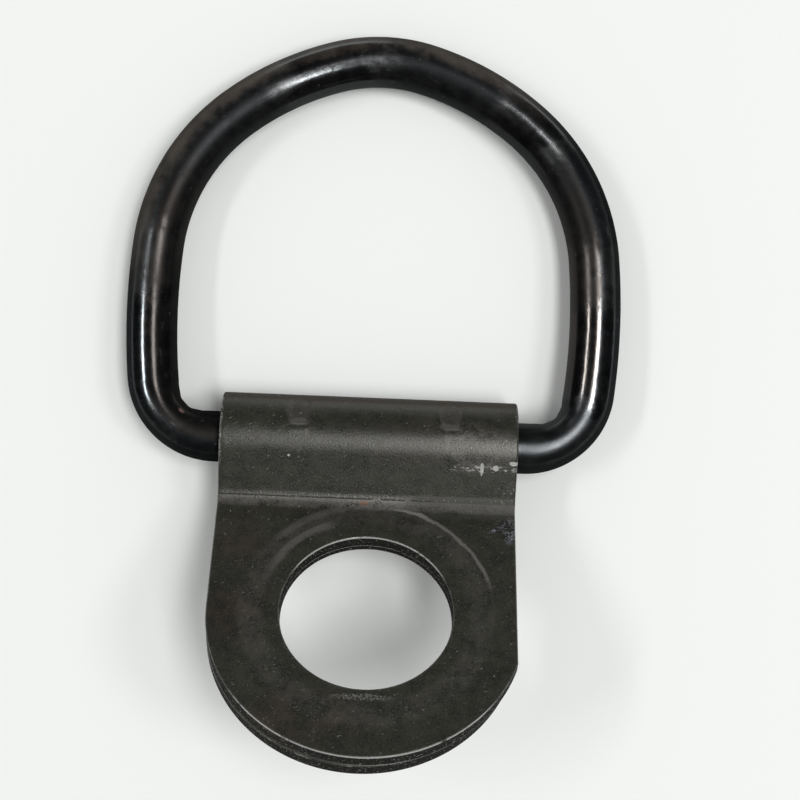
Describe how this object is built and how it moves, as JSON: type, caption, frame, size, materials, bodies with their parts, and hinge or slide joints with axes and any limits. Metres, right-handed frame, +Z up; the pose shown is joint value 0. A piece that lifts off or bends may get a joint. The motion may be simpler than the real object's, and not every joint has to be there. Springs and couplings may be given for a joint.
{
  "type": "cargo tie-down hook",
  "caption": "Folded steel strap with a large round bolt hole and a hinged D-shaped ring of round bar for tying down loads.",
  "frame": {"origin": "On the ground plane, under the middle of the whole hook's bounding box, with the ring lying on the ground and the strap's holed end raised.", "axes": "+X along the hinge bar, +Y from the hinge towards the ring's crown, +Z up from the ground."},
  "size_m": [0.0774, 0.1096, 0.0381],
  "materials": {
    "ring_gloss_black": "glossy black coating on steel bar, rubbed and slightly browned on the crown",
    "strap_satin_black": "satin dark olive-grey coating on steel sheet, scuffed round the hole and worn bright along the lower rim"
  },
  "bodies": {
    "strap": {"folded_strap": "strap_satin_black"},
    "ring": {"d_ring": "ring_gloss_black"}
  },
  "joints": [
    {"name": "ring_swing", "type": "hinge", "parent": "strap", "child": "ring", "pos_m": [0, -0.00911, 0.007], "axis": [1, 0, 0], "range_deg": [-38.2, 147.5]}
  ]
}
